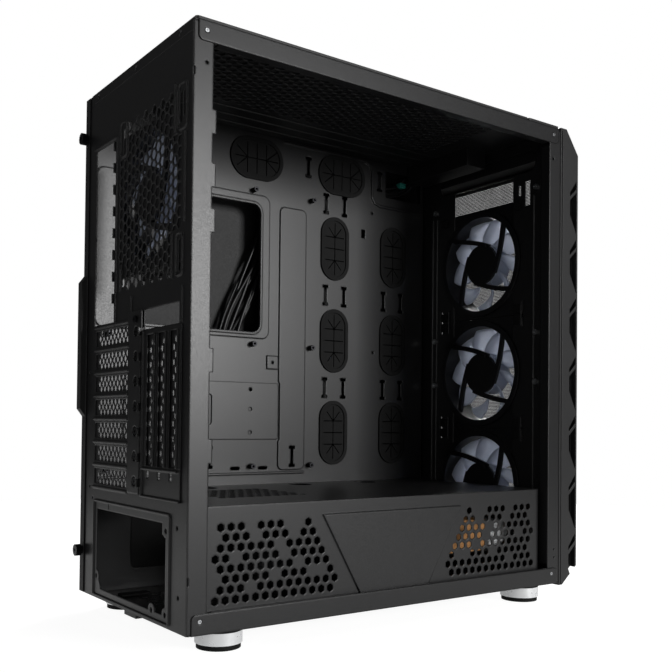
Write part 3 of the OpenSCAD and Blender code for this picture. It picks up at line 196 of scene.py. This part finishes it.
def grain(tree, shader, place, size_mm, depth_mm, rough_spread, colours=None, detail=3.0,
          edge_mm=0.0):
    """Cloudy grain of one size: it shifts the roughness, the colour and the height.

    With edge_mm, sharp edges shade as if rounded, which is how coating and moulding leave them.
    """
    clouds = node(tree, "ShaderNodeTexNoise", [("Vector", place)],
                  Scale=1 / (size_mm * MM), Detail=detail, Roughness=0.55)
    rough = node(tree, "ShaderNodeMapRange", [("Value", clouds.outputs["Fac"])],
                 From_Min=0.3, From_Max=0.7, To_Min=rough_spread[0], To_Max=rough_spread[1])
    tree.links.new(rough.outputs[0], shader.inputs["Roughness"])
    if colours:
        ramp = node(tree, "ShaderNodeValToRGB", [("Fac", clouds.outputs["Fac"])])
        for stop, position, colour in zip(ramp.color_ramp.elements, (0.35, 0.65), colours):
            stop.position = position
            stop.color = srgb(colour)
        tree.links.new(ramp.outputs["Color"], shader.inputs["Base Color"])
    bump = node(tree, "ShaderNodeBump", [("Height", clouds.outputs["Fac"])],
                Strength=1.0, Distance=depth_mm * MM)
    if edge_mm:
        rounded = node(tree, "ShaderNodeBevel", Radius=edge_mm * MM, samples=6)
        tree.links.new(rounded.outputs["Normal"], bump.inputs["Normal"])
    tree.links.new(bump.outputs["Normal"], shader.inputs["Normal"])


def powder_coat():
    """Black polyester powder on pressed steel: a soft sheen broken by fine orange peel."""
    made, tree, shader, place = surface("powder_coated_steel", "#131314", 0.4)
    grain(tree, shader, place, 0.9, 0.02, (0.3, 0.42), ("#101011", "#171718"), edge_mm=1.8)
    return made


def thin_coat():
    """The same powder on the closed side panel, laid thinner: flatter and darker."""
    made, tree, shader, place = surface("thin_powder_coat", "#0d0d0e", 0.6)
    grain(tree, shader, place, 0.9, 0.02, (0.55, 0.68), ("#0b0b0c", "#101011"), edge_mm=0.8)
    return made


def moulded_abs():
    """Spark-textured ABS: an even, slightly dull black with a fine pitted grain."""
    made, tree, shader, place = surface("spark_textured_abs", "#121213", 0.5, ior=1.54)
    grain(tree, shader, place, 0.6, 0.02, (0.38, 0.5), ("#0c0c0d", "#111112"), edge_mm=0.8)
    return made


def satin_nylon():
    """Glass-filled nylon of the fan frames: deep black with a low sheen."""
    made, tree, shader, place = surface("glass_filled_nylon", "#08080a", 0.42, ior=1.53)
    grain(tree, shader, place, 1.4, 0.01, (0.3, 0.42), edge_mm=0.6)
    return made


def nitrile_rubber():
    """Moulded rubber: dull and very dark, with a bloom that lifts its high spots."""
    made, tree, shader, place = surface("moulded_rubber", "#050505", 0.7, ior=1.52)
    shader.inputs["Specular IOR Level"].default_value = 0.2
    grain(tree, shader, place, 1.2, 0.02, (0.6, 0.8), ("#060606", "#0c0c0c"), edge_mm=0.5)
    return made


def milky_polycarbonate():
    """Diffusing polycarbonate of the blades: light soaks in and glows through."""
    made, tree, shader, place = surface("milky_polycarbonate", "#d4dae8", 0.4, ior=1.58)
    shader.inputs["Transmission Weight"].default_value = 0.45
    grain(tree, shader, place, 3.0, 0.02, (0.34, 0.46))
    glow = node(tree, "ShaderNodeBsdfTranslucent", Color=srgb("#dde2ee"))
    both = node(tree, "ShaderNodeMixShader", [(1, shader.outputs[0]), (2, glow.outputs[0])])
    both.inputs[0].default_value = 0.35
    tree.links.new(both.outputs[0], tree.nodes["Material Output"].inputs["Surface"])
    return made


def zinc_plate():
    """Bright zinc on small screws: cool grey metal with a faint pull of the tool."""
    made, tree, shader, place = surface("zinc_plated_steel", "#b9bbbd", 0.3, metallic=1.0)
    grain(tree, shader, place, 0.4, 0.01, (0.22, 0.42))
    return made


def black_oxide():
    """Black-oxide steel screws: dark metal that still catches a thin highlight."""
    made, tree, shader, place = surface("black_oxide_steel", "#2c2c2e", 0.38, metallic=1.0)
    grain(tree, shader, place, 0.4, 0.01, (0.3, 0.5))
    return made


def polished_chrome():
    """Rings of the feet: a thin chrome that is hazed by the pale plastic under it."""
    made, tree, shader, place = surface("chromed_ring", "#f4f5f6", 0.3, metallic=0.5)
    grain(tree, shader, place, 4.0, 0.002, (0.26, 0.36))
    return made


def nickel_plate():
    """Nickel shells of the sockets."""
    made, tree, shader, place = surface("nickel_plated_shell", "#c9c7c1", 0.25, metallic=1.0)
    grain(tree, shader, place, 0.8, 0.005, (0.2, 0.32))
    return made


def brown_board():
    """Recycled carton board: matt brown with flecks and short fibres."""
    made, tree, shader, place = surface("carton_board", "#d99c60", 0.85, ior=1.47)
    grain(tree, shader, place, 1.5, 0.08, (0.78, 0.92), ("#c98a4e", "#e9b27a"), detail=6.0)
    return made


def polythene_film():
    """Thin polythene bag: milky, with bright creases."""
    made, tree, shader, place = surface("polythene_film", "#f2f3f5", 0.22, ior=1.51)
    shader.inputs["Transmission Weight"].default_value = 0.15
    grain(tree, shader, place, 6.0, 0.4, (0.15, 0.3))
    return made


def pvc_sheath(name, colour):
    """PVC cable sheath: soft plastic with a satin shine."""
    made, tree, shader, place = surface(name, colour, 0.4, ior=1.53)
    grain(tree, shader, place, 2.0, 0.01, (0.34, 0.48))
    return made


def painted_wire():
    """Painted steel wire of the front mesh."""
    made, tree, shader, place = surface("painted_mesh_wire", "#0e0e0f", 0.5)
    grain(tree, shader, place, 0.5, 0.01, (0.42, 0.58))
    return made


def nylon_mesh():
    """Black nylon filter cloth."""
    made, tree, shader, place = surface("nylon_filter_cloth", "#101010", 0.6, ior=1.53)
    grain(tree, shader, place, 0.8, 0.02, (0.5, 0.7))
    return made


def floor_paint():
    """Matt white studio floor: evenly white to the eye, a softer light that fades to the front."""
    made, tree, shader, place = surface("studio_floor", "#8c8c8b", 0.9)
    grain(tree, shader, place, 60.0, 0.02, (0.86, 0.94), ("#8a8a89", "#8e8e8d"))
    shader.inputs["Specular IOR Level"].default_value = 0
    shader.inputs["Emission Color"].default_value = srgb("#ffffff")
    at = node(tree, "ShaderNodeSeparateXYZ", [("Vector", place)])
    glow = node(tree, "ShaderNodeMapRange", [("Value", at.outputs["Y"])],
                From_Min=-1.2, From_Max=0.2, To_Min=0.1, To_Max=0.45)
    path = node(tree, "ShaderNodeLightPath")
    seen = node(tree, "ShaderNodeMix", [(0, path.outputs["Is Camera Ray"]), (2, glow.outputs[0])])
    seen.inputs[3].default_value = 0.93
    tree.links.new(seen.outputs[0], shader.inputs["Emission Strength"])
    return made


MATERIALS = {
    "powder": powder_coat(),
    "thin": thin_coat(),
    "abs": moulded_abs(),
    "nylon": satin_nylon(),
    "rubber": nitrile_rubber(),
    "milky": milky_polycarbonate(),
    "zinc": zinc_plate(),
    "oxide": black_oxide(),
    "chrome": polished_chrome(),
    "nickel": nickel_plate(),
    "board": brown_board(),
    "film": polythene_film(),
    "lead": pvc_sheath("black_pvc_lead", "#08080a"),
    "teal": pvc_sheath("teal_connector", "#2a7a70"),
    "wire": painted_wire(),
    "cloth": nylon_mesh(),
}


# ------------------------------------------------------------------ carried-over parts

def finish_of(name):
    """The finish of each part that keeps its own shape."""
    table = {
        "zinc": ("case_screws", "frame_rivets"),
        "oxide": ("fan_screws", "side_thumbscrews", "board_standoffs"),
        "abs": ("front_panel", "top_io_strip", "power_button", "reset_button", "drive_tray",
                "top_filter", "psu_filter"),
        "thin": ("right_panel",),
        "chrome": ("foot_rings",),
        "rubber": ("foot_pads",),
        "nickel": ("io_sockets",),
        "board": ("accessory_carton",),
        "film": ("parts_bag",),
        "lead": ("io_harness",),
        "wire": ("front_mesh",),
    }
    for finish, names in table.items():
        if name in names:
            return finish
    if name.startswith("grommet"):
        return "rubber"
    if "fan_frame" in name:
        return "nylon"
    if "rotor" in name:
        return "milky"
    return "powder"


def tint_faces(part, finish, chosen):
    """Gives a second finish to the faces whose centre passes the test chosen."""
    part.data.materials.append(MATERIALS[finish])
    for face in part.data.polygons:
        if chosen(face.center):
            face.material_index = len(part.data.materials) - 1


for name, part in NODES.items():
    part.data.materials.clear()
    part.data.materials.append(MATERIALS[finish_of(name)])

# the slot screws at the rear are black, those in the front sheet bright
REAR_DEPTH = 50 * MM
rear_from = cad_high[1] - REAR_DEPTH
tint_faces(NODES["case_screws"], "oxide", lambda at: at.y > rear_from)


# ------------------------------------------------------------------ built pieces

def settle(piece, body, finish, replaced=()):
    """Finishes a built piece: its material, its body and what it stands for."""
    piece.data.materials.append(MATERIALS[finish])
    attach(piece, body)
    if replaced:
        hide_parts(*replaced)
    return piece


def chassis(x, y, z):
    """A point given from the lower rear corner of the open side, in millimetres."""
    return (Vector((x, y, z)) + CORNER_MM) * MM


def revolve(bm, profile, centre, steps=72):
    """Turns a profile of (radius, y) points round the line through centre along Y."""
    rings = []
    for k in range(steps):
        a = 2 * math.pi * k / steps
        rings.append([bm.verts.new((centre[0] + r * math.cos(a), y, centre[1] + r * math.sin(a)))
                      for r, y in profile])
    for k in range(steps):
        one, two = rings[k], rings[(k + 1) % steps]
        for j in range(len(profile) - 1):
            bm.faces.new((one[j], one[j + 1], two[j + 1], two[j]))


def blade_sheet(bm, turn, centre, hub_r, tip_r, y_mid, depth, spin):
    """One cambered, swept blade as a thin sheet of faces."""
    radial, chord = 12, 10
    sweep = math.radians(-24)
    camber = 1.5 * MM
    grid = []
    for i in range(radial + 1):
        t = i / radial
        r = hub_r + (tip_r - hub_r) * t
        half = math.radians(15.5 + 3 * t - 5 * max(0, t - 0.8))
        lean = sweep * t ** 1.5
        row = []
        for j in range(chord + 1):
            s = 2 * j / chord - 1
            a = turn + spin * (lean + s * half)
            rise = depth * (0.44 - 0.09 * t) * s + camber * (1 - s * s)
            row.append(bm.verts.new((centre[0] + r * math.cos(a), y_mid + rise,
                                     centre[1] + r * math.sin(a))))
        grid.append(row)
    for i in range(radial):
        for j in range(chord):
            bm.faces.new((grid[i][j], grid[i + 1][j], grid[i + 1][j + 1], grid[i][j + 1]))


def fan_rotor(name, body, spin, start):
    """Swept blades round a cupped hub, in the space of the CAD rotor."""
    low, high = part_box(name)
    centre = ((low.x + high.x) / 2, (low.z + high.z) / 2)
    tip_r = (high.x - low.x) / 2
    hub_r = HUB_R
    wall = 1.8 * MM
    blade_t = 1.3 * MM
    bm = bmesh.new()
    for k in range(BLADES):
        blade_sheet(bm, start + 2 * math.pi * k / BLADES, centre, hub_r - 0.2 * MM, tip_r,
                    (low.y + high.y) / 2, high.y - low.y, spin)
    blades = mesh_object(name + "_blades", bm, smooth=True)
    thick = blades.modifiers.new("thick", "SOLIDIFY")
    thick.thickness = blade_t
    thick.offset = 0
    settle(blades, body, "milky")

    bm = bmesh.new()
    y0, y1 = low.y, high.y - 0.2 * MM
    revolve(bm, [(0.01 * MM, y0), (hub_r - 2.2 * MM, y0), (hub_r - 0.7 * MM, y0 + 0.6 * MM),
                 (hub_r, y0 + 2 * MM), (hub_r, y1), (hub_r - wall, y1),
                 (hub_r - wall, y0 + wall), (0.01 * MM, y0 + wall)], centre)
    hub = mesh_object(name + "_hub", bm, smooth=True)
    hub.data.set_sharp_from_angle(angle=math.radians(40))
    settle(hub, body, "milky", [name])


def woven_panel(name, low, high, axis, pitch, wire, body, finish, replaced=()):
    """A flat panel of crossed wires: the wires run along the two axes other than axis."""
    bm = bmesh.new()
    others = [a for a in range(3) if a != axis]
    middle = (low[axis] + high[axis]) / 2
    for run, step in (others, others[::-1]):
        count = int((high[step] - low[step]) / pitch)
        side = wire * 0.25 * (1 if run == others[0] else -1)
        for i in range(count + 1):
            at = low[step] + (high[step] - low[step]) * i / count
            a, b = [0, 0, 0], [0, 0, 0]
            a[run], b[run] = low[run], high[run]
            a[step] = at - wire / 2
            b[step] = at + wire / 2
            a[axis] = middle + side - wire / 4
            b[axis] = middle + side + wire / 4
            box_into(bm, a, b)
    return settle(mesh_object(name, bm), body, finish, replaced)


def filter_cloth(name, body):
    """The woven cloth of a dust filter, inside its moulded rim."""
    low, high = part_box(name)
    pitch, thread = 1.5 * MM, 0.6 * MM
    rim = Vector((11, 11, 0)) * MM
    if name == "psu_filter":
        rim.y = 20 * MM
    middle = (low.z + high.z) / 2
    low, high = low + rim, high - rim
    low.z = middle - thread / 2
    high.z = middle + thread / 2
    woven_panel(name + "_cloth", low, high, 2, pitch, thread, body, "cloth")


def smooth_path(points, per_span=6):
    """Points along a Catmull-Rom curve through the given ones."""
    out = []
    for i in range(len(points) - 1):
        p0 = points[max(i - 1, 0)]
        p1, p2 = points[i], points[i + 1]
        p3 = points[min(i + 2, len(points) - 1)]
        for k in range(per_span):
            t = k / per_span
            out.append(0.5 * (2 * p1 + (p2 - p0) * t + (2 * p0 - 5 * p1 + 4 * p2 - p3) * t ** 2
                              + (3 * p1 - p0 - 3 * p2 + p3) * t ** 3))
    out.append(points[-1])
    return out


def tube_into(bm, path, radius, sides=10):
    """Sweeps a circle along a path of points, with closed ends."""
    rings = []
    side = Vector((1, 0, 0))
    for i, p in enumerate(path):
        along = (path[min(i + 1, len(path) - 1)] - path[max(i - 1, 0)]).normalized()
        side = (side - along * side.dot(along)).normalized()
        other = along.cross(side)
        rings.append([bm.verts.new(p + radius * (math.cos(a) * side + math.sin(a) * other))
                      for a in (2 * math.pi * k / sides for k in range(sides))])
    for one, two in zip(rings, rings[1:]):
        for k in range(sides):
            bm.faces.new((one[k], one[(k + 1) % sides], two[(k + 1) % sides], two[k]))
    bm.faces.new(rings[0])
    bm.faces.new(rings[-1][::-1])


LEAD_ROUTE = [(199.5, -384, 440), (202, -374, 431), (202, -345, 421), (202, -320, 419),
              (202, -290, 417), (202, -262, 414), (202, -238, 406), (202, -218, 392),
              (202, -203, 372), (202, -191, 348), (202, -180, 322), (202, -168, 296),
              (202, -156, 270), (202, -147, 246), (202, -140, 222), (202, -134, 200),
              (202, -124, 184), (202, -112, 178), (202, -100, 184), (202, -94, 200),
              (202, -92, 220)]
LEADS = 8
TIE_SHARES = (0.1, 0.28, 0.86)


def opening_out(share):
    """How far the bundle spreads at a share of its length: tight ends, loose middle."""
    return 0.55 + 0.9 * math.sin(math.pi * share) ** 2


def lead_bundle():
    """Thin leads that cross and part along the held route behind the tray."""
    middle = smooth_path([chassis(*p) for p in LEAD_ROUTE])
    last = len(middle) - 1
    bm = bmesh.new()
    for k in range(LEADS):
        path = []
        for i, p in enumerate(middle):
            along = (middle[min(i + 1, last)] - middle[max(i - 1, 0)]).normalized()
            flat = along.cross(Vector((1, 0, 0))).normalized()
            share = i / last
            spread = (k - (LEADS - 1) / 2) * 2.3 * MM * opening_out(share)
            sway = (1.5 + k % 3) * MM * math.sin((5 + k % 4) * share * math.pi + 1.9 * k)
            lift = 2.6 * MM * math.cos((4 + k % 3) * share * math.pi + 2.3 * k)
            path.append(p + flat * (spread + sway) + Vector((lift, 0, 0)))
        tube_into(bm, path, (1.3 + 0.25 * (k % 4)) * MM)
    settle(mesh_object("io_leads", bm, smooth=True), "chassis", "lead",
           ["io_harness"])
    lead_ties(middle)


def lead_ties(middle):
    """Flat straps round the bundle at a few places along its middle line."""
    half = 1.3 * MM
    deep = 5.0 * MM
    steps = 24
    bm = bmesh.new()
    for share in TIE_SHARES:
        i = int(share * (len(middle) - 1))
        along = (middle[i + 1] - middle[i - 1]).normalized()
        flat = along.cross(Vector((1, 0, 0))).normalized()
        wide = 9.5 * MM * opening_out(share)
        loop = []
        for n in range(steps + 1):
            a = 2 * math.pi * n / steps
            loop.append(middle[i] + flat * wide * math.cos(a) + Vector((deep * math.sin(a), 0, 0)))
        for n in range(steps):
            quad = [loop[n] - along * half, loop[n + 1] - along * half,
                    loop[n + 1] + along * half, loop[n] + along * half]
            bm.faces.new([bm.verts.new(q) for q in quad])
    bmesh.ops.remove_doubles(bm, verts=bm.verts, dist=0.01 * MM)
    ties = mesh_object("lead_ties", bm)
    band = ties.modifiers.new("band", "SOLIDIFY")
    band.thickness = 0.9 * MM
    settle(ties, "chassis", "lead")


def plug(name, place, size, finish, ways):
    """A small housing with a key ridge and a row of contact caps."""
    bm = bmesh.new()
    low = place - size / 2
    high = place + size / 2
    box_into(bm, low, high)
    ridge = Vector((size.x * 0.3, size.y * 0.8, size.z * 0.12))
    top = Vector((place.x - size.x / 2, place.y, place.z))
    box_into(bm, top - ridge / 2, top + ridge / 2)
    for k in range(ways):
        y = low.y + size.y * (k + 0.5) / ways
        half = size.y / ways * 0.28
        box_into(bm, (low.x - 0.5 * MM, y - half, low.z + size.z * 0.12),
                 (low.x + 0.4 * MM, y + half, low.z + size.z * 0.3))
    made = mesh_object(name, bm)
    soft = made.modifiers.new("soft", "BEVEL")
    soft.width = 0.4 * MM
    soft.segments = 2
    return settle(made, "chassis", finish)


def film_bag():
    """A crumpled bag of small parts, in the space of its plain CAD solid."""
    low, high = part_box("parts_bag")
    middle, half = (low + high) / 2, (high - low) / 2
    bm = bmesh.new()
    bmesh.ops.create_icosphere(bm, subdivisions=5, radius=1)
    for v in bm.verts:
        d = v.co.copy()
        box = Vector([math.copysign(abs(c) ** 0.45, c) for c in d])
        fold = noise.noise(d * 2.1 + Vector((3, 1, 7))) * 0.22
        crease = abs(noise.noise(d * 5.3)) * 0.16
        size = 1.0 + fold - crease
        v.co = Vector([middle[k] + half[k] * max(-1, min(1, box[k] * size)) for k in range(3)])
    settle(mesh_object("film_bag", bm, smooth=True), "chassis", "film", ["parts_bag"])


def fan_leads(i):
    """Three thin wires that lie along one strut of a front fan and leave at its corner."""
    start_x, start_z = -11, 18.5
    run_x, run_z = 59.6, 13.3
    wire_r = 0.55 * MM
    wire_pitch = 1.15 * MM
    low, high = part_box(f"front_fan_frame_{i}")
    cx, cz, y = (low.x + high.x) / 2, (low.z + high.z) / 2, high.y + 0.6 * MM
    bm = bmesh.new()
    for k in range(3):
        off = (k - 1) * wire_pitch
        pts = []
        for t in (0, 0.25, 0.5, 0.75, 1):
            bow = 0.16 * t * (1 - t)
            across = start_z + run_z * t + run_x * bow
            along = start_x + run_x * t - run_z * bow
            pts.append(Vector((cx + along * MM, y, cz + across * MM + off)))
        tube_into(bm, smooth_path(pts), wire_r, 8)
    settle(mesh_object(f"fan_wires_{i}", bm, smooth=True), "chassis", "lead")


def corner_pads():
    """Soft pads on the corners of each front fan."""
    inset = 5.4 * MM
    half = Vector((4.6, 0.35, 4.6)) * MM
    bm = bmesh.new()
    for i in (1, 2, 3):
        low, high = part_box(f"front_fan_frame_{i}")
        for x, sx in ((low.x, 1), (high.x, -1)):
            for z, sz in ((low.z, 1), (high.z, -1)):
                at = Vector((x + sx * inset, high.y + half.y, z + sz * inset))
                box_into(bm, at - half, at + half)
    pads = mesh_object("fan_corner_pads", bm)
    round_off = pads.modifiers.new("round", "BEVEL")
    round_off.width = 0.3 * MM
    settle(pads, "chassis", "rubber")


def floor_pads():
    """Foam strips that a power supply would stand on."""
    half = Vector((5, 14, 1.4)) * MM
    bm = bmesh.new()
    for x in (52, 160):
        for y in (-30, -118):
            at = chassis(x, y, 2.6)
            box_into(bm, at - half, at + half)
    pads = mesh_object("psu_pads", bm)
    round_off = pads.modifiers.new("round", "BEVEL")
    round_off.width = 1.0 * MM
    round_off.segments = 3
    settle(pads, "chassis", "rubber")


BLADES = 9
HUB_R = 22.4 * MM
FRONT_ROTORS = ("front_rotor_top", "front_rotor_middle", "front_rotor_bottom")
for i, body in enumerate(FRONT_ROTORS, 1):
    fan_rotor(f"front_rotor_{i}", body, -1, math.radians(7 + 11 * i))
    fan_leads(i)
fan_rotor("rear_rotor", "rear_rotor_body", -1, math.radians(4))

MESH_PITCH = 1.6 * MM
MESH_WIRE = 0.8 * MM
mesh_low, mesh_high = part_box("front_mesh")
woven_panel("front_wire_mesh", mesh_low, mesh_high, 1, MESH_PITCH, MESH_WIRE,
            "front_cover", "wire", ["front_mesh"])
for name, body in (("top_filter", "lid_filter"), ("psu_filter", "floor_filter")):
    filter_cloth(name, body)
lead_bundle()
plug("teal_plug", chassis(197.5, -372.7, 433.8), Vector((7, 9, 5)) * MM, "teal", 4)
film_bag()
corner_pads()
floor_pads()


studio_camera()
studio()
